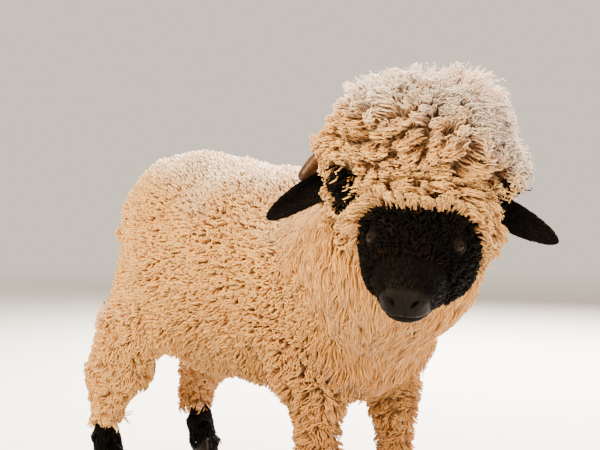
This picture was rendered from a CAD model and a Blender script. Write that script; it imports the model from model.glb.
"""Looks of a young Valais Blacknose ewe: one skin, its coat as mesh tufts, eyes, horns and claws.

Metres, +Z up, the animal facing -Y with its left side at +X, its head turned to its right.
"""

import math
from collections import namedtuple

import bmesh
import bpy
import numpy as np
from mathutils import Matrix, Vector
from mathutils.bvhtree import BVHTree
from mathutils.kdtree import KDTree


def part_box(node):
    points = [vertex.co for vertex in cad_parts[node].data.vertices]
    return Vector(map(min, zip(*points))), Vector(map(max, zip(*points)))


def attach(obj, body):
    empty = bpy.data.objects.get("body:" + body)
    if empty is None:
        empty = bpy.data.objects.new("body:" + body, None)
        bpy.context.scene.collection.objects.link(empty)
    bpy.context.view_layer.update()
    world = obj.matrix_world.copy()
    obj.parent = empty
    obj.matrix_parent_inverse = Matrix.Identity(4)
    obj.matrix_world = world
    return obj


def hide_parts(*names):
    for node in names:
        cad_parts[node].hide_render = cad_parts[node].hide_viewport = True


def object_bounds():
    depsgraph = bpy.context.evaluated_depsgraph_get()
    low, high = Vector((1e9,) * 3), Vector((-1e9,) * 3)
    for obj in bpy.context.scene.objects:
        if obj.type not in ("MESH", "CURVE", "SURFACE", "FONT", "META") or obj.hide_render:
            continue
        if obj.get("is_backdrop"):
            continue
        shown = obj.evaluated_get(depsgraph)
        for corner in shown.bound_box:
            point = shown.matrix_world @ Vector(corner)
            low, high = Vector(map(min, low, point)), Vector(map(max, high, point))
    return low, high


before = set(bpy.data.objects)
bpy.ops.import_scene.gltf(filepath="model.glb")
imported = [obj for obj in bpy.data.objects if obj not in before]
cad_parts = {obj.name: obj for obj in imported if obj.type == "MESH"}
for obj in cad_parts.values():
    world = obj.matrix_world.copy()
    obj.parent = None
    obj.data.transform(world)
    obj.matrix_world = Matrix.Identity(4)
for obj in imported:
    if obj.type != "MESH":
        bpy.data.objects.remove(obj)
cad_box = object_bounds()

SEED = 31
FLAT = Vector((0.0, 0.0, 1.0))
LEGS = ("front_right", "front_left", "hind_right", "hind_left")
SIDES = ((-1, "right"), (1, "left"))
WOOLLY = ["torso", "neck", "head", "tail"]
WOOLLY += [part + side for part in ("shoulder_", "thigh_") for side in ("right", "left")]
WOOLLY += ["leg_" + leg for leg in LEGS]

# The head's turn, drop and roll, and where the eyes and the wool ball sit on it
HEADING = math.radians(59.0)
NOSE_DROP = math.radians(41.0)
HEAD_ROLL = math.radians(-5.0)
EYE_FORWARD = 0.022
EYE_OUT = 0.0555
EYE_UP = 0.02
EYE_RADIUS = 0.013
BALL_FROM_EYES = Vector((0.054, 0.044, 0.111))

# The face along the nose, from the back of the skull: forward, middle height, half width, rise,
# drop, and how much wider the cheeks and jaw are than the brow and nose
FACE = (
    (-0.095, 0.0, 0.044, 0.04, 0.044, 1.0),
    (-0.078, 0.0, 0.066, 0.055, 0.066, 1.0),
    (-0.046, 0.0, 0.076, 0.059, 0.08, 1.05),
    (-0.014, 0.0, 0.077, 0.055, 0.083, 1.1),
    (0.014, 0.0, 0.073, 0.048, 0.079, 1.16),
    (0.04, 0.0, 0.063, 0.042, 0.068, 1.18),
    (0.066, 0.0, 0.053, 0.036, 0.057, 1.14),
    (0.09, 0.0, 0.045, 0.031, 0.047, 1.06),
    (0.108, 0.0, 0.038, 0.025, 0.04, 1.0),
    (0.12, -0.003, 0.031, 0.018, 0.033, 1.0),
    (0.128, -0.006, 0.019, 0.009, 0.021, 1.0),
    (0.1305, -0.007, 0.006, 0.003, 0.006, 1.0),
)
# How square its sections are, 2 being an oval, and how many points and rows it has
FACE_FULLNESS = 2.2
FACE_SIDES = 144
FACE_STEPS = 12
# Hills and hollows on it: height, then centre and reach as forward, out and up of the eye line
FACE_RELIEF = (
    (0.005, (0.004, 0.052, 0.044), (0.02, 0.018, 0.012)),  # brow
    (0.003, (0.036, 0.062, -0.012), (0.022, 0.014, 0.014)),  # cheekbone
    (-0.005, (0.05, 0.046, 0.018), (0.014, 0.014, 0.012)),  # hollow before the eye
    (0.002, (0.085, 0.0, 0.034), (0.03, 0.016, 0.01)),  # bridge of the nose
    (-0.0022, (0.088, 0.038, 0.01), (0.018, 0.01, 0.012)),  # hollow beside the bridge
    (0.0042, (0.119, 0.0215, 0.006), (0.012, 0.009, 0.01)),  # wing of the nose
    (0.0036, (0.118, 0.015, -0.01), (0.013, 0.016, 0.007)),  # upper lip
    (0.0045, (0.108, 0.0, -0.036), (0.018, 0.02, 0.012)),  # chin
)
# The nostril's place out and up, its slant and depth, and the line of the mouth
NOSTRIL_OUT = 0.0165
NOSTRIL_UP = 0.004
NOSTRIL_SLANT = math.radians(38.0)
NOSTRIL_DEPTH = 0.0085
MOUTH_UP = -0.019
MOUTH_SLOPE = 0.1
MOUTH_TIP = 0.15
MOUTH_CORNER = 0.056
MOUTH_DEPTH = 0.004
LIP_RISES = ((-0.0055, 0.0016), (0.006, 0.0014))
SOCKET_DEPTH = 0.0075

# Ears and horns from their roots to their tips: out, forward and up of the wool ball's centre
EAR_PATHS = {
    "right": ((0.078, -0.006, -0.006), (0.139, 0.004, -0.022), (0.233, -0.003, -0.078)),
    "left": ((0.078, -0.006, -0.026), (0.131, -0.002, -0.066), (0.203, -0.009, -0.113)),
}
EAR_HALF_WIDTH = 0.0215
EAR_THICKNESS = 0.0036
HORN_PATH = (
    (0.066, -0.034, 0.004),
    (0.112, -0.04, 0.026),
    (0.154, -0.036, 0.018),
    (0.181, -0.03, -0.012),
)
HORN_REACH = {"right": 1.0, "left": 0.86}
HORN_RADIUS = 0.014
HORN_TIP_RADIUS = 0.0105
HORN_RINGS = 15
HORN_RING_HEIGHT = 0.00055

# The foot under the wool: height, half width, half depth and how far forward of the leg's line
FOOT = (
    (0.12, 0.015, 0.017, 0.0),
    (0.092, 0.016, 0.018, 0.0),
    (0.074, 0.0205, 0.024, 0.0),
    (0.057, 0.019, 0.0225, 0.006),
    (0.046, 0.0215, 0.026, 0.011),
    (0.038, 0.0215, 0.0255, 0.013),
    (0.03, 0.015, 0.018, 0.014),
)
FOOT_BACK = 0.025
CLAW_HEIGHT = 0.034
CORONET_SLOPE = math.radians(24.0)
# Half a claw's outline from heel to toe: along and out, as shares of its length and half width
CLAW_OUTLINE = (
    (-0.5, 0.16), (-0.4, 0.56), (-0.2, 0.9), (0.1, 1.0), (0.34, 0.84), (0.5, 0.3),
)

# The skin under the wool: how finely it is made, and how far it lies inside the solids' surface
SKIN_VOXEL = 0.0085
SKIN_SMOOTHING = 26
REGIONS = ("torso", "neck", "head", "tail", "limb", "face")
SKIN_INSET = (0.02, 0.02, 0.026, 0.01, 0.009, 0.016)
# How much of the clumps' relief is evened out of the skin, where the coat is plush
EVENED = (1.0, 0.8, 0.36, 0.0, 0.0, 0.0)
EVENING = 60
# The height under which the legs' flesh tapers off inside the feet
LIMB_END = 0.118


def head_axes():
    """The head's level heading and its left, then its forward, left and up."""
    level = Vector((-math.sin(HEADING), -math.cos(HEADING), 0.0))
    left = Vector((-level.y, level.x, 0.0))
    forward = level * math.cos(NOSE_DROP) - FLAT * math.sin(NOSE_DROP)
    up = forward.cross(left)
    roll = Matrix.Rotation(HEAD_ROLL, 3, level)
    return level, left, roll @ forward, roll @ left, roll @ up


def middle(node):
    low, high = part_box(node)
    return (low + high) * 0.5


LEVEL, LEVEL_LEFT, FORWARD, LEFT, UP = head_axes()
EYE_LINE = (middle("eye_right") + middle("eye_left")) * 0.5 - FORWARD * EYE_FORWARD - UP * EYE_UP
WOOL_BALL = EYE_LINE + BALL_FROM_EYES
HEAD_TURN = np.array((FORWARD, LEFT, UP))


def in_head(forward, left, up):
    return EYE_LINE + FORWARD * forward + LEFT * left + UP * up


def by_ball(out, forward, up, side):
    return WOOL_BALL + LEVEL_LEFT * (side * out) + LEVEL * forward + FLAT * up


# Small helpers on arrays
def unit(vectors):
    return vectors / np.maximum(np.linalg.norm(vectors, axis=-1, keepdims=True), 1e-9)


def smooth_step(low, high, values):
    share = np.clip((values - low) / (high - low), 0.0, 1.0)
    return share * share * (3.0 - 2.0 * share)


def bump(values, centre, spread):
    """A smooth hill of height 1 round a centre, in any number of dimensions."""
    gaps = (np.asarray(values) - np.asarray(centre)) / np.asarray(spread)
    return np.exp(-np.sum(gaps * gaps, axis=-1)) if gaps.ndim > 1 else np.exp(-gaps * gaps)


def through(points, share):
    """A place along the smooth curve through a list of points, from 0 to 1."""
    points = np.asarray(points, float)
    padded = np.vstack([2.0 * points[0] - points[1], points, 2.0 * points[-1] - points[-2]])
    place = np.clip(share, 0.0, 1.0) * (len(points) - 1)
    index = min(int(place), len(points) - 2)
    t = place - index
    a, b, c, d = padded[index:index + 4]
    square = 2.0 * a - 5.0 * b + 4.0 * c - d
    cube = 3.0 * b - a - 3.0 * c + d
    return 0.5 * (2.0 * b + (c - a) * t + square * t**2 + cube * t**3)


# Meshes
def object_of(mesh, name):
    obj = bpy.data.objects.new(name, mesh)
    bpy.context.scene.collection.objects.link(obj)
    return obj


def rows_to_object(name, rows, ring=False):
    """Skins rows of equally many points into a tube, closed at its ends or round into a ring."""
    sides = len(rows[0])
    points = [point for row in rows for point in row]
    faces = []
    for i in range(len(rows) if ring else len(rows) - 1):
        near, far = i * sides, (i + 1) % len(rows) * sides
        for j in range(sides):
            k = (j + 1) % sides
            faces.append((near + j, near + k, far + k, far + j))
    for first in () if ring else (0, (len(rows) - 1) * sides):
        hub = len(points)
        points.append(sum((np.asarray(p) for p in points[first:first + sides])) / sides)
        faces += [(first + j, first + (j + 1) % sides, hub) for j in range(sides)]
    mesh = bpy.data.meshes.new(name)
    mesh.from_pydata([tuple(point) for point in points], [], faces)
    mesh.update()
    obj = object_of(mesh, name)
    face_outwards(obj)
    return obj


def face_outwards(obj):
    bm = bmesh.new()
    bm.from_mesh(obj.data)
    bmesh.ops.recalc_face_normals(bm, faces=bm.faces)
    bm.to_mesh(obj.data)
    bm.free()


def evaluated_mesh(obj):
    """The mesh that an object's modifiers make."""
    bpy.context.view_layer.update()
    graph = bpy.context.evaluated_depsgraph_get()
    return bpy.data.meshes.new_from_object(obj.evaluated_get(graph), depsgraph=graph)


def modified(obj, kind, **settings):
    modifier = obj.modifiers.new(kind.lower(), kind)
    for name, value in settings.items():
        setattr(modifier, name, value)
    mesh = evaluated_mesh(obj)
    obj.modifiers.clear()
    obj.data = mesh
    return obj


def united(name, objects):
    """One closed surface from several overlapping ones."""
    first, *others = objects
    spare = bpy.data.collections.new("united")
    bpy.context.scene.collection.children.link(spare)
    for obj in others:
        bpy.context.scene.collection.objects.unlink(obj)
        spare.objects.link(obj)
    joined = {"operation": "UNION", "solver": "MANIFOLD", "operand_type": "COLLECTION"}
    modified(first, "BOOLEAN", collection=spare, **joined)
    for obj in others:
        bpy.data.objects.remove(obj, do_unlink=True)
    bpy.data.collections.remove(spare)
    first.name = name
    return first


def largest_shell(obj):
    """Drops every loose shell of an object but its largest."""
    bm = bmesh.new()
    bm.from_mesh(obj.data)
    left = set(bm.verts)
    shells = []
    while left:
        stack = [left.pop()]
        shell = []
        while stack:
            vert = stack.pop()
            shell.append(vert)
            for edge in vert.link_edges:
                other = edge.other_vert(vert)
                if other in left:
                    left.discard(other)
                    stack.append(other)
        shells.append(shell)
    shells.sort(key=len)
    for shell in shells[:-1]:
        bmesh.ops.delete(bm, geom=shell, context="VERTS")
    bm.to_mesh(obj.data)
    bm.free()


def triples(items, name, kind=float):
    values = np.empty(len(items) * 3, kind)
    items.foreach_get(name, values)
    return values.reshape(-1, 3)


def arrays_of(mesh):
    """Points, smooth normals and triangles of a mesh."""
    mesh.calc_loop_triangles()
    points, normals = triples(mesh.vertices, "co"), triples(mesh.vertices, "normal")
    return points, normals, triples(mesh.loop_triangles, "vertices", np.int32)


def fill(items, name, values, kind=np.float32):
    items.foreach_set(name, np.asarray(values, kind).ravel())


def set_points(obj, points):
    fill(obj.data.vertices, "co", points)
    obj.data.update()


def mark_points(mesh, name, values):
    """Stores three numbers at each point of a mesh, for a finish to read."""
    fill(mesh.attributes.new(name, "FLOAT_VECTOR", "POINT").data, "vector", values)


# The head's skin
def face_rows():
    """Cross sections of the face, close together, as the table gives them."""
    rows = []
    count = (len(FACE) - 1) * FACE_STEPS
    angles = 2.0 * math.pi * (np.arange(FACE_SIDES) + 0.5) / FACE_SIDES
    waves = np.array((np.cos(angles), np.sin(angles)))
    across, above = np.sign(waves) * np.abs(waves) ** (2.0 / FACE_FULLNESS)
    lower = np.clip(-2.0 * above - 4.0 * np.minimum(above + 0.5, 0.0), 0.0, None)
    for i in range(count + 1):
        forward, height, half_width, rise, drop, jaw = through(FACE, i / count)
        wide = half_width * (1.0 + (jaw - 1.0) * lower)
        tall = np.where(above > 0.0, rise, drop) * above
        rows.append(np.stack([np.full(FACE_SIDES, forward), wide * across, height + tall], axis=1))
    return rows


def to_world(places):
    return np.array(EYE_LINE) + np.asarray(places) @ HEAD_TURN


def to_head(points):
    return (np.asarray(points) - np.array(EYE_LINE)) @ HEAD_TURN.T


def carve_face(face):
    """Shapes brow, cheeks, nose, nostrils, lips, chin and eye sockets on the plain face."""
    points, normals, _ = arrays_of(face.data)
    places = to_head(points)
    forward, left, up = places.T
    out = np.abs(left)
    spots = np.stack([forward, out, up], axis=1)
    rise = np.zeros(len(points))
    for height, centre, reach in FACE_RELIEF:
        rise += height * bump(spots, centre, reach)
    rise -= nostril_depth(forward, out, up)
    groove = bump(out, 0.0, 0.0018) * bump(up, -0.004, 0.012)
    rise -= 0.0022 * groove * smooth_step(0.108, 0.12, forward)
    line = MOUTH_UP - MOUTH_SLOPE * (MOUTH_TIP - forward)
    mouth = smooth_step(MOUTH_CORNER - 0.01, MOUTH_CORNER + 0.006, forward)
    rise -= MOUTH_DEPTH * bump(up, line, 0.0019) * mouth
    for lift, fullness in LIP_RISES:
        rise += fullness * bump(up, line + lift, 0.004) * mouth
    gap = np.linalg.norm((spots - (EYE_FORWARD, EYE_OUT, EYE_UP)) / (1.12, 1.0, 0.9), axis=1)
    rise -= SOCKET_DEPTH * smooth_step(EYE_RADIUS * 1.15, EYE_RADIUS * 0.8, gap)
    set_points(face, points + normals * rise[:, None])


def nostril_depth(forward, out, up):
    """A comma-shaped opening on each side of the nose, wide inside and curled up outwards."""
    cosine, sine = math.cos(NOSTRIL_SLANT), math.sin(NOSTRIL_SLANT)
    along = (out - NOSTRIL_OUT) * cosine + (up - NOSTRIL_UP) * sine
    across = (up - NOSTRIL_UP) * cosine - (out - NOSTRIL_OUT) * sine
    across = across + 30.0 * along**2
    pit = bump(along, -0.001, 0.0072) * bump(across, 0.0, 0.0026)
    return NOSTRIL_DEPTH * (pit * smooth_step(0.104, 0.114, forward))


def eye_axes(side):
    """An eye's outward, its length along the lids and its up."""
    outward = (LEFT * (side * 0.8) + FORWARD * 0.36 + UP * 0.4).normalized()
    along = (FORWARD - UP * 0.25 - outward * (FORWARD - UP * 0.25).dot(outward)).normalized()
    return outward, along, along.cross(outward) * side


def eye_centre(side):
    return in_head(EYE_FORWARD, side * EYE_OUT, EYE_UP)


# The half length of the opening between the lids, and its half heights above and below
LID_LENGTH = 0.0122
LID_OPENING = (0.0072, 0.005)
# The section of the lids from their rim outwards and back inside: how far out from the opening's
# edge, and height over the eyeball
LID_SECTION = (
    (-0.0004, -0.003),
    (-0.0005, 0.0002),
    (0.0002, 0.0013),
    (0.0016, 0.0021),
    (0.0034, 0.0016),
    (0.005, 0.0022),
    (0.0075, 0.0012),
    (0.01, -0.003),
    (0.008, -0.007),
    (0.003, -0.007),
)
LID_STEPS = 56


def build_lids(side):
    """The upper and lower lid, one closed ring with a rim, a fold and a root in the socket."""
    outward, along, up = (np.array(axis) for axis in eye_axes(side))
    centre = np.array(eye_centre(side))
    rows = []
    for step in range(LID_STEPS):
        angle = 2.0 * math.pi * step / LID_STEPS
        way = np.array((math.cos(angle), math.sin(angle)))
        tall = LID_OPENING[0] if way[1] > 0.0 else LID_OPENING[1]
        edge = np.array((LID_LENGTH * way[0], tall * way[1] * (0.72 + 0.28 * abs(way[1]))))
        off = way * (0.75, 1.0)
        heavier = 1.0 + 0.55 * max(way[1], 0.0)
        row = []
        for out, lift in LID_SECTION:
            flat = edge + off * out * heavier
            reach = EYE_RADIUS + (lift * heavier if lift > 0.0 else lift)
            depth = math.sqrt(max(reach**2 - flat @ flat, 0.0)) if flat @ flat < reach**2 else 0.0
            sunk = max(math.sqrt(flat @ flat) - reach * 0.97, 0.0)
            row.append(centre + along * flat[0] + up * flat[1] + outward * (depth - sunk * 0.8))
        rows.append(row)
    return modified(rows_to_object("lids", rows, ring=True), "SUBSURF", levels=1)


EAR_ROWS = 40
EAR_COLUMNS = 14


def ear_rows(word, side):
    """An ear's two faces, row by row from its root, as one closed flat tube."""
    path = [by_ball(*place, side) for place in EAR_PATHS[word]]
    facing = np.array((LEVEL * 0.85 - FLAT * 0.45).normalized())
    rows = []
    for i in range(EAR_ROWS + 1):
        share = i / EAR_ROWS
        centre = through(path, share)
        along = unit(through(path, min(share + 0.02, 1.0)) - through(path, max(share - 0.02, 0.0)))
        front = unit(facing - along * (facing @ along))
        across = np.cross(along, front)
        taper = math.sqrt(max(1.0 - share**2.3, 0.01))
        width = EAR_HALF_WIDTH * (0.78 + 1.2 * share - 0.62 * share**2) * taper
        half = 0.5 * EAR_THICKNESS * (0.55 + 0.45 * taper)
        offsets = np.linspace(-1.0, 1.0, EAR_COLUMNS)
        fold = 0.55 * width * offsets**2 * (1.25 - share) - 0.1 * width * np.cos(2.5 * offsets)
        wave = 0.0016 * np.sin(9.0 * share + 2.0 * offsets) * np.abs(offsets)
        sheet = centre + across * (width * offsets)[:, None] + front * (fold + wave)[:, None]
        thin = half * np.sqrt(np.clip(1.04 - offsets**4, 0.0, 1.0))
        outer = front * thin[:, None]
        rows.append(list(sheet + outer) + list((sheet - outer)[::-1]))
    return rows


def build_ear(word, side):
    return modified(rows_to_object("ear", ear_rows(word, side)), "SUBSURF", levels=1)


def foot_origin(leg):
    """A foot's place on the floor: the middle across, and the line of the leg."""
    low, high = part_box("foot_" + leg)
    return 0.5 * (low.x + high.x), high.y - FOOT_BACK


def build_foot(leg):
    """The pastern, with the cleft between the toes in front and two small dew claws behind."""
    x, foot_y = foot_origin(leg)
    rows = []
    steps = 6 * (len(FOOT) - 1)
    angles = 2.0 * math.pi * np.arange(36) / 36
    for i in range(steps + 1):
        height, half_width, half_depth, forward = through(FOOT, i / steps)
        low = smooth_step(0.066, 0.04, np.array(height))
        cleft = 1.0 - 0.24 * low * bump(np.abs(np.cos(angles)), 0.0, 0.3)
        row = np.stack([
            x + half_width * np.cos(angles),
            foot_y - forward + half_depth * np.sin(angles) * cleft,
            np.full(36, height),
        ], axis=1)
        rows.append(row)
    foot = rows_to_object("foot", rows)
    points, normals, _ = arrays_of(foot.data)
    for side in (-1, 1):
        spot = (x + side * 0.0105, foot_y + 0.0215, 0.071)
        points = points + normals * (0.0042 * bump(points, spot, (0.006, 0.008, 0.0075)))[:, None]
    set_points(foot, points)
    return foot


# The skin of the whole body
def merged_copy(names, label):
    """The solids' meshes as one, with their loose triangles joined up."""
    bm = bmesh.new()
    for name in names:
        bm.from_mesh(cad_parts[name].data)
    bmesh.ops.remove_doubles(bm, verts=bm.verts, dist=1e-6)
    mesh = bpy.data.meshes.new(label)
    bm.to_mesh(mesh)
    bm.free()
    return object_of(mesh, label)


def node_tree(names):
    """A search tree over the solids, and which of them each of its triangles is of."""
    points, corners, owners = [], [], []
    for owner, name in enumerate(names):
        found, _, triangles = arrays_of(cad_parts[name].data)
        corners.append(triangles + sum(len(part) for part in points))
        points.append(found)
        owners += [owner] * len(triangles)
    tree = BVHTree.FromPolygons(np.vstack(points).tolist(), np.vstack(corners).tolist())
    return tree, np.array(owners)


def nearest(tree, points):
    """The nearest place on a surface and its triangle, for each point."""
    found = [tree.find_nearest(point) for point in points.tolist()]
    return np.array([hit[0] for hit in found]), np.array([hit[2] for hit in found])


def build_flesh():
    """The body under the wool, from the woolly solids and the face smoothed into one form."""
    names = WOOLLY + ["face"]
    flesh = merged_copy(names, "flesh")
    modified(flesh, "REMESH", mode="VOXEL", voxel_size=SKIN_VOXEL)
    largest_shell(flesh)
    modified(flesh, "SMOOTH", factor=0.5, iterations=SKIN_SMOOTHING)
    points, normals, corners = arrays_of(flesh.data)
    tree, owners = node_tree(names)
    _, hit = nearest(tree, points)
    places = [REGIONS.index(name if name in REGIONS else "limb") for name in names]
    regions = np.array(places)[owners[hit]]
    evened = spread_over(corners, np.array(EVENED)[regions], 6)
    set_points(flesh, spread_over(corners, points, EVENING, evened))
    points, normals, corners = arrays_of(flesh.data)
    points = points - normals * spread_over(corners, np.array(SKIN_INSET)[regions], 6)[:, None]
    below = np.minimum(points[:, 2] - LIMB_END, 0.0)
    points[:, 2] = np.where(below < 0.0, LIMB_END + 0.2 * below, points[:, 2])
    set_points(flesh, points)
    modified(flesh, "SMOOTH", factor=0.5, iterations=3)
    return flesh, regions


def spread_over(corners, values, rounds, weight=1.0):
    """Evens out values over a mesh's neighbouring points, where the weight lets them."""
    ends = np.concatenate([corners[:, (0, 1)], corners[:, (1, 2)], corners[:, (2, 0)]])
    starts, others = np.concatenate([ends, ends[:, ::-1]]).T
    count = np.maximum(np.bincount(starts, minlength=len(values)), 1)
    columns = values.reshape(len(values), -1).T.astype(float)
    for _ in range(rounds):
        sums = [np.bincount(starts, column[others], len(values)) for column in columns]
        columns = columns + 0.5 * weight * (np.array(sums) / count - columns)
    return columns.T.reshape(values.shape)


# Where tufts grow: places, the triangles that they are on, and the shares of the corners
Roots = namedtuple("Roots", "places triangles shares")


class Surface:
    """A skin as arrays, with the fields that the coat reads at any place on it."""

    def __init__(self, obj):
        self.points, self.normals, self.corners = arrays_of(obj.data)
        self.tree = BVHTree.FromPolygons(self.points.tolist(), self.corners.tolist())
        self.fields = {"normal": self.normals}

    def follow(self, points):
        """Drops points onto the surface: their new places and the triangles that they are on."""
        return nearest(self.tree, points)

    def read(self, field, triangles, shares=None):
        """A field at places on triangles, even over each or by the shares of its corners."""
        values = self.fields[field][self.corners[triangles]]
        if shares is None:
            return values.mean(axis=1)
        return np.einsum("ij,ij...->i...", shares, values)

    def scatter(self, spacing, rng):
        """Roots about one spacing apart: one random place in each cell of a grid."""
        a, b, c = self.points[self.corners].transpose(1, 0, 2)
        areas = 0.5 * np.linalg.norm(np.cross(b - a, c - a), axis=1)
        tries = int(4.0 * areas.sum() / spacing**2)
        picked = rng.choice(len(areas), tries, p=areas / areas.sum())
        first, second = np.sqrt(rng.random(tries)), rng.random(tries)
        shares = np.stack([1.0 - first, first * (1.0 - second), first * second], axis=1)
        places = np.einsum("ij,ijk->ik", shares, self.points[self.corners[picked]])
        cells = np.floor(places / spacing).astype(np.int64) + 2048
        _, kept = np.unique(cells @ np.array((1, 4096, 4096 * 4096)), return_index=True)
        return Roots(places[kept], picked[kept], shares[kept])


# The coat
# Along a tuft from its root to its tip: length, height and width, as shares of the tuft's own
PLUSH_PATH = ((0.0, 0.1, 0.9), (0.42, 0.62, 1.05), (0.82, 1.0, 0.85), (1.0, 0.94, 0.0))
CURL_PATH = (
    (0.0, 0.0, 0.9),
    (0.3, 0.42, 1.0),
    (0.5, 0.66, 1.05),
    (0.64, 0.8, 1.0),
    (0.76, 0.91, 0.95),
    (0.87, 0.99, 0.85),
    (0.95, 1.0, 0.6),
    (1.0, 0.97, 0.0),
)
STRAND_PATH = ((0.0, 0.1, 0.8), (0.38, 0.76, 1.0), (0.76, 1.0, 0.8), (1.0, 1.0, 0.0))
HAIR_PATH = ((0.0, -0.2, 0.8), (0.45, 0.75, 1.0), (0.8, 1.0, 0.6), (1.0, 0.9, 0.0))


# One kind of tuft: its path, spacing, width, height, lay along the skin, sway, curl's reach and
# turns; how far tufts are drawn together into staples, the staples' spacing and curl; how much
# lower a staple's outer tufts are; and how shaggy the coat is at its edge
Form = namedtuple(
    "Form",
    "path spacing width height lay sway curl turns gather staple staple_curl dome shag",
    defaults=(0.0, 0.02, 0.0, 0.0, 0.0),
)
FLEECE = Form(
    PLUSH_PATH, 0.0045, 0.0042, 0.0262, 0.009, 1.3, 0.0026, 1.1, 0.25, 0.0078, 0.0026, 0.2
)
CROWN = Form(CURL_PATH, 0.0045, 0.0027, 0.0395, 0.015, 1.1, 0.0054, 2.5, 0.54, 0.0165, 0.0074, 0.5)
WISP = Form(STRAND_PATH, 0.0055, 0.0012, 0.044, 0.016, 0.8, 0.0036, 0.8)
FRINGE = Form(CURL_PATH, 0.0038, 0.0028, 0.035, 0.028, 0.6, 0.0042, 2.0, 0.52, 0.015, 0.0056, 0.35)
EAR_CURL = Form(CURL_PATH, 0.0042, 0.003, 0.037, 0.016, 0.9, 0.0042, 2.2, 0.6, 0.015, 0.006, 0.4)
RUFF = Form(STRAND_PATH, 0.0038, 0.0025, 0.027, 0.052, 0.26, 0.0018, 0.9, 0.42, 0.016, 0.0024)
SHANK = Form(PLUSH_PATH, 0.0042, 0.0031, 0.0215, 0.016, 0.8, 0.003, 1.1, 0.46, 0.011, 0.0034, 0.3)
CHEEK = Form(
    HAIR_PATH, 0.004, 0.0026, 0.0064, 0.01, 0.7, 0.0014, 0.8, 0.4, 0.009, 0.0016, 0.0, 1.0
)
MUZZLE = Form(HAIR_PATH, 0.0032, 0.0013, 0.0011, 0.0065, 0.25, 0.0002, 0.4)
EAR_HAIR = Form(HAIR_PATH, 0.0032, 0.0012, 0.0009, 0.01, 0.15, 0.0002, 0.4)
FOOT_HAIR = Form(STRAND_PATH, 0.0036, 0.0024, 0.009, 0.025, 0.35, 0.0014, 0.8, 0.45, 0.01, 0.0014)
# How far a tuft's swing and phase stray from its staple's, as a share
STRAY = 0.45
MOST_TRIANGLES = 190000


def stems(surface, roots, form, rng, curl, swing, phase, tall):
    """The middle line of each tuft: (tufts, stations, 3), following the skin along its lie."""
    count = len(roots.places)
    base, triangles = roots.places, roots.triangles
    shag = form.shag * surface.read("edge", triangles)
    length = form.lay * rng.uniform(0.8, 1.15, count) * surface.read("reach", triangles)
    length = length * (1.0 + 0.9 * shag)
    height = form.height * tall * rng.uniform(0.82, 1.06, count) * surface.read("loft", triangles)
    height = height * (1.0 + 1.3 * shag)
    hanging = surface.read("hang", triangles) > 0.5
    line = []
    gone = 0.0
    for along, rise, _ in form.path:
        normal = unit(surface.read("normal", triangles))
        lie = surface.read("lie", triangles)
        lie = unit(lie - normal * np.sum(lie * normal, axis=1, keepdims=True))
        side = np.cross(normal, lie)
        way = lie * np.cos(swing)[:, None] + side * np.sin(swing)[:, None]
        if along > gone:
            ahead = base + way * (length * (along - gone))[:, None]
            dropped, under = surface.follow(ahead)
            base = np.where(hanging[:, None], ahead, dropped)
            triangles = np.where(hanging, triangles, under)
            gone = along
        turn = phase + 2.0 * math.pi * form.turns * along
        wind = curl * along**0.7
        offset = side * np.cos(turn)[:, None] + normal * (0.6 * np.sin(turn))[:, None]
        line.append(base + normal * (height * rise)[:, None] + offset * wind)
    return np.stack(line, axis=1)


def coat_lines(surface, roots, form, rng):
    """The tufts' middle lines, drawn together into staples that curl as one, and their staples."""
    count = len(roots.places)
    swing, phase = rng.normal(0.0, 1.0, count), rng.normal(0.0, 1.0, count)
    if not form.gather:
        lines = stems(surface, roots, form, rng, form.curl, form.sway * swing, math.pi * phase, 1.0)
        return lines, np.arange(count)
    staples = surface.scatter(form.staple, rng)
    lean = rng.normal(0.0, form.sway, len(staples.places))
    start = rng.uniform(0.0, 2.0 * math.pi, len(staples.places))
    tall = 1.04 + 0.3 * form.dome * rng.uniform(-1.0, 1.0, len(staples.places))
    staple_lines = stems(surface, staples, form, rng, form.staple_curl, lean, start, tall)
    tree = KDTree(len(staples.places))
    for i, place in enumerate(staples.places.tolist()):
        tree.insert(place, i)
    tree.balance()
    owner = np.array([tree.find(place)[1] for place in roots.places.tolist()])
    swing = lean[owner] + STRAY * form.sway * swing
    phase = start[owner] + STRAY * math.pi * phase
    gap = np.linalg.norm(roots.places - staples.places[owner], axis=1) / form.staple
    tall = tall[owner] * (1.0 - form.dome * np.clip(gap, 0.0, 1.0) ** 2)
    lines = stems(surface, roots, form, rng, form.curl, swing, phase, tall)
    pull = form.gather * np.array([along**1.3 for along, _, _ in form.path])
    return lines + (staple_lines[owner] - lines) * pull[None, :, None], owner


def tuft_points(lines, form, widths, rng):
    """Three points round each station of each tuft, and one at its tip."""
    count, stations, _ = lines.shape
    ahead = np.concatenate([lines[:, 1:], lines[:, -1:]], axis=1)
    behind = np.concatenate([lines[:, :1], lines[:, :-1]], axis=1)
    along = unit(ahead - behind)
    steady = unit(rng.normal(size=(count, 1, 3)))
    side = unit(steady - along * np.sum(steady * along, axis=2, keepdims=True))
    up = np.cross(along, side)
    share = np.array([width for _, _, width in form.path])[None, :, None]
    rings = []
    for angle in (0.0, 2.0 * math.pi / 3.0, 4.0 * math.pi / 3.0):
        reach = side * math.cos(angle) + up * math.sin(angle)
        rings.append(lines + reach * share * (0.5 * widths)[:, None, None])
    rings = np.stack(rings, axis=2)[:, :-1]
    return np.concatenate([rings.reshape(count, -1, 3), lines[:, -1:]], axis=1)


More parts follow.
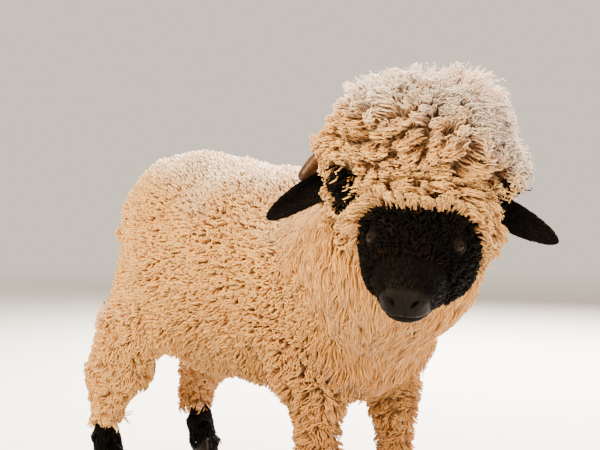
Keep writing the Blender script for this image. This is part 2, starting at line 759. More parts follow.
def tuft_faces(stations):
    """The triangles of one tuft of three-sided rings, a tip and a closed root."""
    faces = [(0, 2, 1)]
    for i in range(stations - 2):
        for j in range(3):
            k = (j + 1) % 3
            low, high = 3 * i, 3 * (i + 1)
            faces += [(low + j, low + k, high + k), (low + j, high + k, high + j)]
    last = 3 * (stations - 2)
    faces += [(last + j, last + (j + 1) % 3, last + 3) for j in range(3)]
    return np.array(faces)


# The size of a tuft's patch on the unwrap
PATCH = 0.003


def unwrapped(places, centre, axis):
    """Roots laid flat round an axis through the body: turn about it, and way along it."""
    axis = unit(np.array(axis, float))
    start = unit(np.cross(axis, (0.31, 0.17, 0.93) if abs(axis[2]) < 0.9 else (0.0, 1.0, 0.0)))
    reach = places - np.array(centre)
    turn = np.arctan2(reach @ np.cross(axis, start), reach @ start) / (2.0 * math.pi) + 0.5
    way = np.arctan2(reach @ axis, 0.35 * np.linalg.norm(np.cross(reach, axis), axis=1) + 0.1)
    flat = np.stack([turn, way], axis=1)
    low, high = flat.min(axis=0), flat.max(axis=0)
    return 0.01 + 0.98 * (flat - low) / np.maximum(high - low, 1e-6)


def tuft_object(name, points, looks, laid, stations):
    """One mesh of many tufts, with their looks and their patches on the unwrap."""
    count, each, _ = points.shape
    one = tuft_faces(stations)
    faces = (one[None] + (np.arange(count) * each)[:, None, None]).reshape(-1, 3)
    mesh = bpy.data.meshes.new(name)
    mesh.vertices.add(count * each)
    mesh.loops.add(faces.size)
    mesh.polygons.add(len(faces))
    fill(mesh.vertices, "co", points)
    fill(mesh.loops, "vertex_index", faces, np.int32)
    fill(mesh.polygons, "loop_start", np.arange(0, faces.size, 3), np.int32)
    mesh.update(calc_edges=True)
    mesh.shade_smooth()
    mark_points(mesh, "tuft", looks)
    ring = np.append(np.repeat(np.arange(stations - 1), 3), stations - 1)
    turn = np.append(np.tile(np.arange(3), stations - 1), 1)
    patch = np.stack([turn / 2.0 - 0.5, ring / (stations - 1.0) - 0.5], axis=1) * PATCH
    corners = (laid[:, None] + patch[None]).reshape(-1, 2)[faces.ravel()]
    fill(mesh.uv_layers.new(name="OFBake").data, "uv", corners)
    return object_of(mesh, name)


def grow(name, surface, form, mask_field, rng, axis, sort_by=1, within=None):
    """Grows one form of coat where a field of the skin asks for it, as one or more pieces."""
    roots = surface.scatter(form.spacing, rng)
    share = surface.read(mask_field, roots.triangles, roots.shares)
    wanted = share > 0.12 + 0.76 * rng.random(len(share))
    if within is not None:
        wanted &= np.all(roots.places * within >= 0.0, axis=1)
    roots = Roots(*(values[wanted] for values in roots))
    lines, owner = coat_lines(surface, roots, form, rng)
    staple_tone = np.random.default_rng(SEED).random(owner.max() + 1)[owner]
    widths = form.width * rng.uniform(0.8, 1.25, len(lines))
    points = tuft_points(lines, form, widths, rng)
    stations = len(form.path)
    along = np.append(np.repeat([place for place, _, _ in form.path[:-1]], 3), 1.0)
    looks = np.empty(points.shape)
    looks[..., 0] = along[None]
    looks[..., 1] = (0.55 * rng.random(len(lines)) + 0.45 * staple_tone)[:, None]
    looks[..., 2] = surface.read("pale", roots.triangles)[:, None]
    most = MOST_TRIANGLES // len(tuft_faces(stations))
    parts = max(1, math.ceil(len(lines) / most))
    order = np.argsort(roots.places[:, sort_by], kind="stable")
    made = []
    for part, chosen in enumerate(np.array_split(order, parts)):
        places = roots.places[chosen]
        label = name if parts == 1 else f"{name}_{part + 1}"
        laid = unwrapped(places, places.mean(axis=0), axis)
        made.append(tuft_object(label, points[chosen], looks[chosen], laid, stations))
    return made


# Shader and geometry maths as Python expressions
class Socket:
    """A socket of a node tree that takes part in arithmetic, each step of it a Math node."""

    def __init__(self, tree, socket):
        self.tree = tree
        self.socket = socket

    def node(self, kind, settings=None, sockets=None, output=0):
        """A new node of the same tree, its settings made before its sockets are filled."""
        made = self.tree.nodes.new(kind)
        for name, value in (settings or {}).items():
            setattr(made, name, value)
        for name, value in (sockets or {}).items():
            if isinstance(value, Socket):
                self.tree.links.new(value.socket, made.inputs[name])
            else:
                made.inputs[name].default_value = value
        return Socket(self.tree, made.outputs[output])

    def maths(self, operation, first, second=0.0):
        return self.node("ShaderNodeMath", {"operation": operation}, {0: first, 1: second})

    def __add__(self, other):
        return self.maths("ADD", self, other)

    def __sub__(self, other):
        return self.maths("SUBTRACT", self, other)

    def __mul__(self, other):
        return self.maths("MULTIPLY", self, other)

    def __truediv__(self, other):
        return self.maths("DIVIDE", self, other)

    def __pow__(self, other):
        return self.maths("POWER", self, other)

    def __radd__(self, other):
        return self.maths("ADD", other, self)

    def __rsub__(self, other):
        return self.maths("SUBTRACT", other, self)

    def __rmul__(self, other):
        return self.maths("MULTIPLY", other, self)

    def sine(self):
        return self.maths("SINE", self)

    def at_least(self, low):
        return self.maths("MAXIMUM", self, low)

    def clamped(self):
        return self.node("ShaderNodeClamp", {}, {0: self})

    def step(self, low, high):
        """0 under low and 1 over high, smooth between."""
        settings = {"interpolation_type": "SMOOTHSTEP"}
        return self.node("ShaderNodeMapRange", settings, {0: self, 1: low, 2: high, 3: 0.0, 4: 1.0})

    def mix(self, first, second):
        """The first colour where this is 0 and the second where it is 1."""
        settings = {"data_type": "RGBA", "clamp_factor": True}
        return self.node("ShaderNodeMix", settings, {0: self, 6: first, 7: second}, 2)

    def parts(self):
        """The three numbers of a vector."""
        made = self.tree.nodes.new("ShaderNodeSeparateXYZ")
        self.tree.links.new(self.socket, made.inputs[0])
        return [Socket(self.tree, out) for out in made.outputs]


def rgb(red, green, blue):
    return (red, green, blue, 1.0)


WARM_GLOW = rgb(0.93, 0.55, 0.2)
DUST_DARK = rgb(0.42, 0.195, 0.044)
DUST_LIGHT = rgb(0.59, 0.285, 0.06)
# The heights between which the dust thickens, and the right hind quarter, which is cleaner: where
# that begins and is full, along and across the body
DUST_HEIGHTS = (0.52, 0.12)
CLEAN_BEHIND = (0.1, 0.34)
CLEAN_ACROSS = (0.02, -0.1)
# Where along a tuft its middle tone is
MIDDLE_DEPTH = 0.52


class Finish:
    """A material's tree with the sources that the finishes here read."""

    def __init__(self, name, **constants):
        self.material = bpy.data.materials.new(name)
        self.material.use_nodes = True
        self.tree = self.material.node_tree
        self.shader = self.tree.nodes["Principled BSDF"]
        for label, value in constants.items():
            self.shader.inputs[label.replace("_", " ")].default_value = value
        self.node = Socket(self.tree, None).node

    def place(self):
        return self.node("ShaderNodeTexCoord", {}, {}, 3)

    def attribute(self, name, output=1):
        return self.node("ShaderNodeAttribute", {"attribute_name": name}, {}, output)

    def noise(self, scale, detail=3.0, where=None):
        sockets = {"Vector": where or self.place(), "Scale": scale, "Detail": detail}
        return self.node("ShaderNodeTexNoise", {}, {**sockets, "Roughness": 0.55})

    def stretched(self, factors, turn=(0.0, 0.0, 0.0)):
        sockets = {"Vector": self.place(), "Rotation": turn, "Scale": factors}
        return self.node("ShaderNodeMapping", {}, sockets)

    def bump(self, height, strength, distance):
        sockets = {"Height": height, "Strength": strength, "Distance": distance}
        return self.node("ShaderNodeBump", {}, sockets)

    def feed(self, **sockets):
        for label, value in sockets.items():
            self.tree.links.new(value.socket, self.shader.inputs[label.replace("_", " ")])

    def dusty(self, patches):
        """Where the low wool is dusty: in patches, and less on the right hind quarter."""
        across, behind, height = self.place().parts()
        cleaner = behind.step(*CLEAN_BEHIND) * across.step(*CLEAN_ACROSS)
        low = height.step(*DUST_HEIGHTS)
        return (low * (0.56 + 0.7 * patches) * (1.0 - cleaner * 0.85)).clamped()

    def glow_through(self, share, colour):
        """Lets a share of the light through thin tufts, as through wool, in one even colour."""
        glow = self.node("ShaderNodeBsdfTranslucent", {}, {"Color": colour})
        body = Socket(self.tree, self.shader.outputs[0])
        mixed = self.node("ShaderNodeMixShader", {}, {0: share, 1: body, 2: glow})
        self.tree.links.new(mixed.socket, self.tree.nodes["Material Output"].inputs["Surface"])


def wool_finish(name, root, middle_tone, tip, pale_tone, spread=0.22, glow=0.34):
    """Curled wool: darker and warmer at the roots, bleached where the sun reaches it."""
    sheen = {"Sheen_Weight": 0.35, "Sheen_Roughness": 0.5}
    finish = Finish(name, Roughness=0.88, Specular_IOR_Level=0.22, **sheen)
    along, own, pale = finish.attribute("tuft").parts()
    patches = finish.noise(9.0, 2.0)
    depth = (along * 1.05 + (own - 0.5) * spread + (patches - 0.5) * 0.3).clamped()
    colour = (depth / MIDDLE_DEPTH).mix(root, middle_tone)
    colour = ((depth - MIDDLE_DEPTH) / (1.0 - MIDDLE_DEPTH)).mix(colour, tip)
    dust = (along * own.step(0.0, 1.0)).mix(DUST_DARK, DUST_LIGHT)
    colour = finish.dusty(patches).mix(colour, dust)
    bleached = (pale * along.step(0.05, 0.55) * 0.95).clamped().mix(colour, pale_tone)
    finish.feed(Base_Color=bleached, Normal=finish.bump(finish.noise(900.0, 2.0), 0.35, 0.0006))
    finish.glow_through(glow, WARM_GLOW)
    return finish.material


def hair_finish(name, root, tip, roughness, brown):
    """Short black hair, a little rusty at some tips."""
    finish = Finish(name, Specular_IOR_Level=0.05)
    along, own, _ = finish.attribute("tuft").parts()
    rusty = (finish.noise(28.0, 2.0).step(0.52, 0.72) * along * own * brown).clamped()
    colour = rusty.mix((along * 0.8 + own * 0.2).clamped().mix(root, tip), rgb(0.06, 0.026, 0.012))
    rough = finish.noise(300.0, 2.0) * 0.16 + (roughness - 0.08)
    finish.feed(Base_Color=colour, Roughness=rough)
    return finish.material


def skin_finish():
    """The skin: felted wool under the fleece, short black hair on head and feet, a damp nose."""
    finish = Finish("skin", Specular_IOR_Level=0.065)
    black, damp, pale = finish.attribute("skin").parts()
    strands = finish.noise(1.0, 3.0, finish.stretched((420.0, 420.0, 90.0), (0.72, 0.0, 0.98)))
    pores = finish.node("ShaderNodeTexVoronoi", {}, {"Vector": finish.place(), "Scale": 620.0})
    felt = finish.noise(160.0, 4.0).mix(rgb(0.3, 0.165, 0.07), rgb(0.56, 0.35, 0.17))
    felt = finish.dusty(finish.noise(9.0, 2.0)).mix(felt, DUST_DARK)
    felt = (pale * 0.7).mix(felt, rgb(0.66, 0.55, 0.42))
    coal = strands.step(0.35, 0.7)
    coal = coal.mix(rgb(0.0008, 0.0007, 0.0007), rgb(0.0036, 0.0028, 0.0028))
    coal = (damp * 0.85).mix(coal, rgb(0.0032, 0.0026, 0.0027))
    rough = (0.88 - black * 0.24 - damp * 0.14 + (strands - 0.5) * 0.22).clamped()
    hair = strands * (1.0 - damp) * 0.0008 + pores * damp * 0.0005
    relief = finish.bump(hair, 0.9, 1.0)
    finish.feed(Base_Color=black.mix(felt, coal), Roughness=rough, Normal=relief)
    return finish.material


def horn_finish():
    """Young horn: brown, ringed, smoother and darker to the tip."""
    finish = Finish("horn", Specular_IOR_Level=0.25)
    along = finish.attribute("along", 2)
    grain = finish.noise(1.0, 3.0, finish.stretched((60.0, 60.0, 320.0)))
    wavy = along * HORN_RINGS + finish.noise(30.0, 2.0) * 1.2
    rings = (wavy * (2.0 * math.pi)).sine() * 0.5 + 0.5
    base = grain.mix(rgb(0.045, 0.015, 0.005), rgb(0.13, 0.048, 0.016))
    colour = (rings * 0.5).mix(base, rgb(0.03, 0.01, 0.004))
    colour = along.step(0.7, 1.0).mix(colour, rgb(0.028, 0.01, 0.005))
    rough = 0.52 - along * 0.14 + (grain - 0.5) * 0.24
    height = rings * 0.0006 + grain * 0.0003
    finish.feed(Base_Color=colour, Roughness=rough, Normal=finish.bump(height, 0.8, 1.0))
    return finish.material


def claw_finish():
    """Dark claw horn with growth lines, scuffed and dusty at the sole."""
    finish = Finish("claw", Specular_IOR_Level=0.14)
    _, _, height = finish.place().parts()
    wander = finish.noise(45.0, 2.0)
    lines = (height * 420.0 + wander * 2.4).sine() * 0.5 + 0.5
    base = wander.mix(rgb(0.003, 0.0024, 0.002), rgb(0.011, 0.008, 0.006))
    scuffed = (1.0 - (height / 0.011)).clamped() * finish.noise(210.0, 4.0).step(0.44, 0.66)
    colour = (lines * 0.4).mix(base, rgb(0.003, 0.0024, 0.002))
    colour = scuffed.mix(colour, rgb(0.05, 0.038, 0.027))
    rough = 0.42 + scuffed * 0.35 + (wander - 0.5) * 0.2
    finish.feed(Base_Color=colour, Roughness=rough, Normal=finish.bump(lines * 0.0003, 0.7, 1.0))
    return finish.material


def eye_finish():
    """A dark amber iris round a level slot of a pupil, under a wet clear coat."""
    finish = Finish("eye", Coat_Weight=0.05, Coat_Roughness=0.05, Specular_IOR_Level=0.05)
    across, up, front = finish.attribute("gaze").parts()
    radius = (across * across + up * up) ** 0.5
    slot = ((across / 0.5) ** 4.0 + (up / 0.17) ** 4.0).step(1.25, 0.8)
    ray = finish.noise(26.0, 3.0, finish.attribute("gaze"))
    iris = ray.mix(rgb(0.006, 0.003, 0.0015), rgb(0.02, 0.01, 0.004))
    iris = radius.step(0.5, 0.68).mix(iris, rgb(0.005, 0.003, 0.002))
    colour = slot.mix(iris, rgb(0.0015, 0.0012, 0.0012))
    white = (radius.step(0.66, 0.72) + front.step(0.1, -0.1)).clamped()
    colour = white.mix(colour, ray.mix(rgb(0.005, 0.0035, 0.003), rgb(0.014, 0.009, 0.008)))
    finish.feed(Base_Color=colour, Roughness=0.14 + ray * 0.08)
    return finish.material


# Horns, eyes and claws
def horn_tree(material):
    """Sweeps a ring along the horn's path: its radius narrows, swells at each growth ring, and
    rounds off at the tip."""
    tree = bpy.data.node_groups.new("horn", "GeometryNodeTree")
    add = tree.interface.new_socket
    add("Geometry", in_out="INPUT", socket_type="NodeSocketGeometry")
    for label in ("Root radius", "Tip radius", "Ring height"):
        add(label, in_out="INPUT", socket_type="NodeSocketFloat")
    add("Geometry", in_out="OUTPUT", socket_type="NodeSocketGeometry")
    entry = tree.nodes.new("NodeGroupInput")
    path, root, tip, ring_height = [Socket(tree, out) for out in entry.outputs[:4]]
    even = path.node("GeometryNodeResampleCurve", {}, {"Curve": path, "Count": 150})
    share = path.node("GeometryNodeSplineParameter", {}, {})
    rings = (share * (2.0 * math.pi * HORN_RINGS)).sine()
    swell = rings * (ring_height * (1.0 - share * 0.6))
    end = ((share - 0.9) / 0.1).at_least(0.0) ** 2.0
    rounded = (1.0 - end).at_least(0.0004) ** 0.5
    radius = (root + (tip - root) * share + swell) * rounded
    stored = {"Geometry": even, "Name": "along", "Value": share}
    marked = path.node(
        "GeometryNodeStoreNamedAttribute", {"data_type": "FLOAT", "domain": "POINT"}, stored
    )
    sized = path.node("GeometryNodeSetCurveRadius", {}, {0: marked, "Radius": radius})
    ring = {"Resolution": 30, "Radius": 1.0}
    circle = path.node("GeometryNodeCurvePrimitiveCircle", {}, ring)
    sweep = {"Curve": sized, "Profile Curve": circle, "Fill Caps": True}
    swept = path.node("GeometryNodeCurveToMesh", {}, sweep)
    scale = swept.socket.node.inputs.get("Scale")
    if scale:
        tree.links.new(radius.socket, scale)
    smooth = path.node("GeometryNodeSetShadeSmooth", {}, {0: swept})
    real = path.node("GeometryNodeRealizeInstances", {}, {0: smooth})
    made = path.node("GeometryNodeSetMaterial", {}, {"Geometry": real, "Material": material})
    last = tree.nodes.new("NodeGroupOutput")
    tree.links.new(made.socket, last.inputs[0])
    return tree


def build_horn(word, side, tree):
    """One horn, swept along its path by the horn's tree."""
    reach = HORN_REACH[word]
    path = [by_ball(out * reach, forward, up, side) for out, forward, up in HORN_PATH]
    end = (Vector(path[-1]) - Vector(path[-2])).normalized()
    places = [through(path, i / 24.0) for i in range(25)] + [np.array(path[-1] + end * 0.01)]
    curve = bpy.data.curves.new("horn_path", "CURVE")
    curve.dimensions = "3D"
    spline = curve.splines.new("POLY")
    spline.points.add(len(places) - 1)
    for point, place in zip(spline.points, places):
        point.co = (*place, 1.0)
    holder = object_of(curve, "horn_path")
    modifier = holder.modifiers.new("horn", "NODES")
    modifier.node_group = tree
    inputs = {
        "Root radius": HORN_RADIUS,
        "Tip radius": HORN_TIP_RADIUS,
        "Ring height": HORN_RING_HEIGHT,
    }
    for item in tree.interface.items_tree:
        if item.name in inputs:
            modifier[item.identifier] = inputs[item.name]
    mesh = evaluated_mesh(holder)
    bpy.data.objects.remove(holder, do_unlink=True)
    horn = object_of(mesh, "horn_form_" + word)
    face_outwards(horn)
    return horn


def build_eye(word, side, material):
    """An eyeball with its cornea, and where it looks as an attribute for the iris.

    A sheep keeps the slot of its pupil level when it lowers its head, so it lies level here.
    """
    outward, _, _ = eye_axes(side)
    along = FLAT.cross(outward).normalized()
    up = outward.cross(along)
    bm = bmesh.new()
    bmesh.ops.create_uvsphere(bm, u_segments=48, v_segments=32, radius=1.0)
    gaze = []
    for vert in bm.verts:
        across, high, front = vert.co
        gaze.append((across, high, front))
        cornea = 1.0 + 0.045 * float(smooth_step(0.66, 0.98, np.array(front)))
        reach = EYE_RADIUS * 0.985 * cornea
        vert.co = eye_centre(side) + (along * across + up * high + outward * front) * reach
    mesh = bpy.data.meshes.new("eyeball_" + word)
    bmesh.ops.recalc_face_normals(bm, faces=bm.faces)
    bm.to_mesh(mesh)
    bm.free()
    mesh.shade_smooth()
    mark_points(mesh, "gaze", gaze)
    mesh.materials.append(material)
    return object_of(mesh, "eyeball_" + word)


def build_claw(leg, word, material):
    """One claw of horn: a rounded wall that flares to the floor, its top under the coronet."""
    low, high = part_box(f"claw_{leg}_{word}")
    x, foot_y = foot_origin(leg)
    half = 1.0 if 0.5 * (low.x + high.x) > x else -1.0
    length, half_width = high.y - low.y, 0.5 * (high.x - low.x)
    middle_y = 0.5 * (high.y + low.y)
    middle_x = low.x + half_width if half > 0 else high.x - half_width
    outer = [(length * along, half * half_width * out * 1.08) for along, out in CLAW_OUTLINE]
    loop = outer + [(along, -0.8 * out) for along, out in reversed(outer)]
    closed = loop + loop[:1]
    smooth = [through(closed, i / 48.0) for i in range(48)]
    rows = []
    for step in range(15):
        share = step / 14.0
        flare = 1.0 - 0.11 * share + 0.03 * math.sin(9.0 * share)
        tuck = 0.965 if step == 0 else 1.0
        row = []
        for along, out in smooth:
            y = middle_y + along * flare * 0.985 * tuck
            top = CLAW_HEIGHT - (y - foot_y + 0.018) * math.tan(CORONET_SLOPE)
            row.append((middle_x + out * flare * 0.94 * tuck, y, share * top * 1.02))
        rows.append(row)
    claw = rows_to_object(f"hoof_{leg}_{word}", rows)
    claw.data.shade_smooth()
    claw.data.materials.append(material)
    return claw


# What the coat reads at each point of the skin
# The place that the wool on the head spreads from, and the way to the sun that bleached it
CROWN_TOP = WOOL_BALL + FLAT * 0.12 - LEVEL * 0.03
SUNLIT = np.array((-LEVEL * 0.4 + FLAT + LEVEL_LEFT * 0.5).normalized())
# Rounds of evening for the way that tufts stand, and between two stretches of coat
NORMAL_EVENING = 16
BLEND = 36
# How far forward the ruff begins on the chest, where cheek hair and muzzle hair end on the face,
# and the edge of the fringe at the middle and its slant to the sides
RUFF_CHEST = -0.17
CHEEK_END = 0.072
NOSE_PAD = 0.117
FRINGE_END = -0.004
FRINGE_SLANT = 0.12
# How far the longer hair reaches from the fringe over the cheek, and the bare rim round an eye
CHEEK_SHAG = 0.03
EYE_BARE = 0.016
# Heights on the legs under which their wool hangs over the feet, and the feet's hair over the claws
SHANK_END = 0.14
CORONET = 0.064
# Black curls in the wool in front of each ear's root
EAR_CURL_SPOTS = (
    by_ball(0.088, 0.08, -0.044, -1),
    by_ball(0.108, 0.074, -0.032, -1),
    by_ball(0.112, 0.016, -0.058, 1),
)
EAR_CURL_REACH = 0.034
# The two corners of the crest, where the head's wool is longer
CREST_CORNERS = (by_ball(-0.072, 0.02, 0.092, 1), by_ball(0.07, 0.02, 0.094, 1))
CREST_REACH = 0.032
CREST_RISE = 0.58
# Where else the head's wool is shorter: place, reach and by what share, or longer under 0
SHORTER = (
    (by_ball(0.128, 0.066, -0.002, -1), 0.045, 0.74),  # before the bare right horn
    (by_ball(0.118, 0.04, 0.05, 1), 0.048, 0.26),
    (by_ball(-0.11, 0.03, 0.078, 1), 0.034, 0.52),
    (by_ball(0.124, 0.018, 0.088, 1), 0.032, 0.36),
    (by_ball(0.142, 0.044, -0.03, 1), 0.03, 0.36),
    (by_ball(0.15, -0.026, 0.002, 1), 0.034, -0.24),  # over the left horn
)


def which_part(points, parts):
    """Which of several surfaces each point lies on, and the triangle there."""
    best = np.full(len(points), np.inf)
    owner = np.zeros(len(points), int)
    triangle = np.zeros(len(points), int)
    for number, surface in enumerate(parts):
        places, hit = surface.follow(points)
        gap = np.linalg.norm(places - points, axis=1)
        closer = gap < best - 1e-7
        best[closer], owner[closer], triangle[closer] = gap[closer], number, hit[closer]
    return owner, triangle


def behind_fringe(places):
    """How far each place is behind the fringe's edge, where the head's wool hangs over the face."""
    return FRINGE_END - FRINGE_SLANT * np.abs(places[:, 1]) - places[:, 0]


def eye_gap(places):
    """How far each place on the head is from the nearer eye."""
    spots = np.stack([places[:, 0], np.abs(places[:, 1]), places[:, 2]], axis=1)
    return np.linalg.norm(spots - (EYE_FORWARD, EYE_OUT, EYE_UP), axis=1)


def ear_run(word, side):
    """The way from an ear's root to its tip."""
    root, _, tip = EAR_PATHS[word]
    return by_ball(*tip, side) - by_ball(*root, side)


def lay_of_coat(points, region, part):
    """The way that the coat lies at each point."""
    lie = np.tile((0.0, 0.45, -1.0), (len(points), 1))
    lie[region == "neck"] = (0.0, 0.22, -1.0)
    crown = region == "head"
    lie[crown] = unit(points[crown] - np.array(CROWN_TOP)) + (0.0, 0.0, -0.45)
    face = part == "face"
    left = to_head(points[face])[:, 1:2]
    side = np.sign(left) * smooth_step(0.01, 0.04, np.abs(left))
    forward, outwards, up = HEAD_TURN
    lie[face] = -forward - up * 0.35 * np.abs(side) + outwards * 0.1 * side
    lie[face & (behind_fringe(to_head(points)) > 0.0)] = forward - (0.0, 0.0, 0.35)
    for sign, word in SIDES:
        lie[part == "ear_" + word] = ear_run(word, sign)
    lie[part == "foot"] = (0.0, 0.0, -1.0)
    return unit(lie)


def mark_growth(surface, region, part):
    """Marks where each stretch of the coat grows, and the skin's black and damp places."""
    points, normals, fields = surface.points, surface.normals, surface.fields
    places, height, facing_up = to_head(points), points[:, 2], normals[:, 2]
    neck, torso, crown, shank = (region == name for name in ("neck", "torso", "head", "limb"))
    on_face, forward = part == "face", places[:, 0]
    chest = torso & (points[:, 1] < RUFF_CHEST) & (normals[:, 1] < -0.25) & (facing_up < 0.45)
    ruff = (neck & (facing_up < 0.6)) | chest
    gaps = [np.linalg.norm(points - np.array(spot), axis=1) for spot in EAR_CURL_SPOTS]
    ear_curl = crown & (np.min(gaps, axis=0) < EAR_CURL_REACH)
    sunny = (points - np.array(WOOL_BALL)) @ SUNLIT > 0.04
    fringe = on_face & (behind_fringe(places) > 0.0)
    bare = fringe | (eye_gap(places) < EYE_BARE)
    underside = (height < SHANK_END) & (facing_up < -0.7)
    growth = {
        "ear_curl": (ear_curl, 2),
        "crown": (crown & ~ear_curl, 4),
        "wisp": (crown & sunny, 2),
        "fringe": (fringe, 2),
        "ruff": (ruff, BLEND),
        "fleece": ((torso | neck) & ~ruff, BLEND),
        "shank": (shank, BLEND),
        "low_shank": (shank & ~underside, 2),
        "tail": (region == "tail", 2),
        "cheek": (on_face & (forward < CHEEK_END) & ~bare, 3),
        "muzzle": (on_face & (forward > CHEEK_END - 0.02) & (forward < NOSE_PAD), 2),
        "ear_right": (part == "ear_right", 2),
        "ear_left": (part == "ear_left", 2),
        "foot": ((part == "foot") & (height > 0.04), 2),
        "black": (((part != "flesh") & ~fringe) | ear_curl, 2),
        "damp": (on_face & (forward > NOSE_PAD) & (places[:, 2] > -0.024), 2),
    }
    for name, (mask, rounds) in growth.items():
        fields[name] = spread_over(surface.corners, mask.astype(float), rounds)
    fields["shank"] = np.where(height > 0.2, fields["shank"], fields["low_shank"])


def mark_lengths(surface, region, part):
    """Marks how tall and long the coat is, and where it is shaggy, hangs or is bleached."""
    points, fields = surface.points, surface.fields
    places, from_ball = to_head(points), points - np.array(WOOL_BALL)
    height, facing_up = points[:, 2], surface.normals[:, 2]
    torso, crown, shank = (region == name for name in ("torso", "head", "limb"))
    on_face = part == "face"
    top = smooth_step(0.056, 0.08, from_ball[:, 2])
    lit = np.maximum(smooth_step(0.014, 0.056, from_ball @ SUNLIT), top)
    on_back = 0.8 * smooth_step(0.3, 0.95, facing_up) * (part == "flesh")
    loft = np.ones(len(points))
    loft[shank] = 0.62 + 0.43 * smooth_step(0.12, 0.24, height[shank])
    loft[torso] += 0.4 * smooth_step(0.1, -0.6, facing_up[torso])
    for spot, spread, less in SHORTER:
        loft *= 1.0 - less * bump(points, spot, spread)
    loft[crown] *= 1.0 - 0.6 * smooth_step(-0.055, -0.1, from_ball[crown, 2])
    for corner in CREST_CORNERS:
        loft += CREST_RISE * bump(points, corner, CREST_REACH)
    behind = behind_fringe(places[on_face])
    jaw = 1.0 - 0.48 * smooth_step(0.01, -0.045, places[on_face, 2])
    hanging = (0.78 + 0.45 * smooth_step(0.0, 0.03, behind)) * jaw
    loft[on_face] = np.where(behind > 0.0, hanging, 1.0)
    edge = np.zeros(len(points))
    edge[on_face] = np.where(behind > 0.0, 0.0, 1.0 - smooth_step(0.0, CHEEK_SHAG, -behind))
    near_eye = on_face * (1.0 - smooth_step(EYE_BARE, EYE_BARE + 0.012, eye_gap(places)))
    loft *= 1.0 - 0.5 * near_eye
    reach = 1.0 - 0.4 * near_eye
    reach[shank] += 0.5 * (1.0 - smooth_step(SHANK_END, SHANK_END + 0.05, height[shank]))
    low_foot = (part == "foot") & (height < CORONET)
    loft[low_foot] = 0.85
    lengths = {"loft": loft, "reach": reach, "edge": edge}
    for name, values in lengths.items():
        fields[name] = spread_over(surface.corners, values, 3)
    fields["pale"] = spread_over(surface.corners, np.where(crown, lit, on_back), 4)
    fields["hang"] = (low_foot | (shank & (height < SHANK_END + 0.02))).astype(float)


def dress_skin(skin, surfaces, names, flesh_regions):
    """Gives the skin the fields that the coat and the skin's finish read."""
    surface = Surface(skin)
    points, fields = surface.points, surface.fields
    owner, triangle = which_part(points, surfaces)
    part = np.array(names)[owner]
    on_flesh = part == "flesh"
    region = np.full(len(points), REGIONS.index("face"))
    region[on_flesh] = flesh_regions[surfaces[0].corners[triangle[on_flesh]][:, 0]]
    region = np.array(REGIONS)[region]
    fields["lie"] = lay_of_coat(points, region, part)
    weight = on_flesh.astype(float)
    fields["normal"] = unit(spread_over(surface.corners, surface.normals, NORMAL_EVENING, weight))
    mark_growth(surface, region, part)
    mark_lengths(surface, region, part)
    looks = [fields[name] for name in ("black", "damp", "pale")]
    mark_points(skin.data, "skin", np.stack(looks, axis=1))
    return surface


def build_skin():
    """One closed skin over body, face, ears and feet, and the surface that carries the coat."""
    body, flesh_regions = build_flesh()
    head = rows_to_object("face_form", [to_world(row) for row in face_rows()])
    carve_face(head)
    parts = [body, head] + [build_ear(word, side) for side, word in SIDES]
    parts += [build_foot(leg) for leg in LEGS]
    names = ["flesh", "face", "ear_right", "ear_left"] + ["foot"] * len(LEGS)
    surfaces = [Surface(obj) for obj in parts]
    skin = united("skin", parts + [build_lids(side) for side, _ in SIDES])
    skin.data.materials.clear()
    skin.data.shade_smooth()
    return skin, dress_skin(skin, surfaces, names, flesh_regions)


# The studio
WORLD_COLOUR = rgb(1.0, 0.87, 0.71)
WORLD_STRENGTH = 1.05
BLACK = rgb(0.0, 0.0, 0.0)
# The camera as in the photo: its place from the eye line, its lens, and its turn down and aside
CAMERA_FROM_EYES = Vector((-1.13, -0.893, 0.038))
CAMERA_LENS = 60.42
CAMERA_DOWN = math.radians(0.57)
CAMERA_TURN = math.radians(45.0)
# The floor's radius, and between which distances it fades into the backdrop
FLOOR_RADIUS = 14.0
FLOOR_FADE = (2.6, 9.0)
# Name, place, aim, size, power and colour of each lamp: one like the sun, high behind the animal
# and to its left, and two warm fills
LAMPS = (
    ("sun_side", (2.3, 0.9, 2.6), (0.0, 0.0, 0.45), 1.3, 1420.0, (1.0, 0.95, 0.88)),
    ("flank_fill", (-2.9, -0.3, 2.0), (0.0, 0.0, 0.4), 2.0, 345.0, (1.0, 0.76, 0.43)),
    ("face_fill", (-0.6, -3.0, 1.2), (0.0, -0.3, 0.45), 1.8, 45.0, (1.0, 0.7, 0.38)),
)


def add_camera():
    data = bpy.data.cameras.new("camera")
    data.sensor_width = 36.0
    data.lens = CAMERA_LENS
    data.clip_start = 0.05
    camera = object_of(data, "camera")
    camera.location = EYE_LINE + CAMERA_FROM_EYES
    camera.rotation_euler = (math.radians(90.0) - CAMERA_DOWN, 0.0, -CAMERA_TURN)
    bpy.context.scene.camera = camera


def add_lamp(name, place, aim, size, power, colour):
    data = bpy.data.lights.new(name, "AREA")
    data.shape = "DISK"
    data.size = size
    data.energy = power
    data.color = colour
    lamp = object_of(data, name)
    lamp.location = place
    lamp.rotation_mode = "QUATERNION"
    lamp.rotation_quaternion = (Vector(aim) - Vector(place)).to_track_quat("-Z", "Y")


